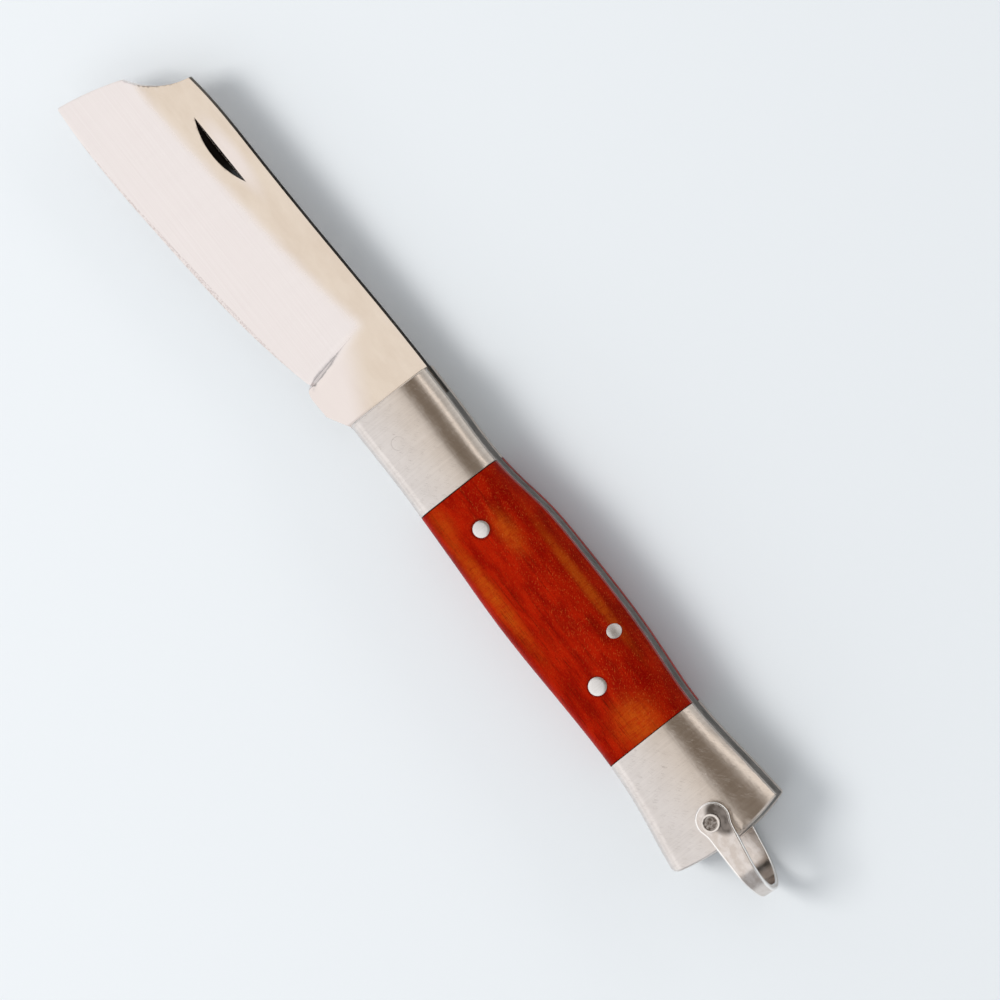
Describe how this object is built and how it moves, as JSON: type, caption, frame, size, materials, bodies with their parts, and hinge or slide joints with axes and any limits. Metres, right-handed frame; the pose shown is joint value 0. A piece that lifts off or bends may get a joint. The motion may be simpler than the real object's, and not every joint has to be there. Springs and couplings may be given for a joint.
{
  "type": "grafting knife",
  "caption": "Folding grafting knife lying open: broad straight-edged blade with a nail nick, wooden scales between metal bolsters, back spring, and a swinging bail at the flared butt.",
  "frame": {"origin": "under the middle of the open knife's box, on the surface that its pile side lies towards", "axes": "+X from the blade's end to the bail, +Y to the back with the spring, +Z to the mark side with the nail nick"},
  "size_m": [0.1988, 0.0295, 0.0181],
  "materials": {
    "blade_steel": "polished flats, satin bevels",
    "spring_steel": "satin",
    "liner_steel": "satin",
    "rivet_steel": "plain",
    "bolster_metal": "fine brushing across the knife",
    "bail_steel": "polished",
    "pin_metal": "brushed",
    "scale_wood": "glossy red-brown lacquer"
  },
  "bodies": {
    "handle": {"back_spring": "spring_steel", "blade_pivot_pin": "bolster_metal", "spring_pin": "pin_metal", "spring_tail_pin": "rivet_steel", "bail_pin": "bail_steel", "mark_liner": "liner_steel", "mark_front_bolster": "bolster_metal", "mark_rear_bolster": "bolster_metal", "mark_scale": "scale_wood", "mark_front_scale_pin": "pin_metal", "mark_rear_scale_pin": "pin_metal", "mark_bolster_rivets": "rivet_steel", "pile_liner": "liner_steel", "pile_front_bolster": "bolster_metal", "pile_rear_bolster": "bolster_metal", "pile_scale": "scale_wood", "pile_front_scale_pin": "pin_metal", "pile_rear_scale_pin": "pin_metal", "pile_bolster_rivets": "rivet_steel"},
    "blade": {"blade": "blade_steel"},
    "bail": {"bail": "bail_steel"}
  },
  "joints": [
    {"name": "blade_pivot", "type": "hinge", "parent": "handle", "child": "blade", "pos_m": [-0.0098, -0.00048, 0.00905], "axis": [0, 0, 1], "range_deg": [0, 175]},
    {"name": "bail_swing", "type": "hinge", "parent": "handle", "child": "bail", "pos_m": [0.0825, 0.00262, 0.00905], "axis": [0, 0, 1], "range_deg": [-110, 125]}
  ]
}
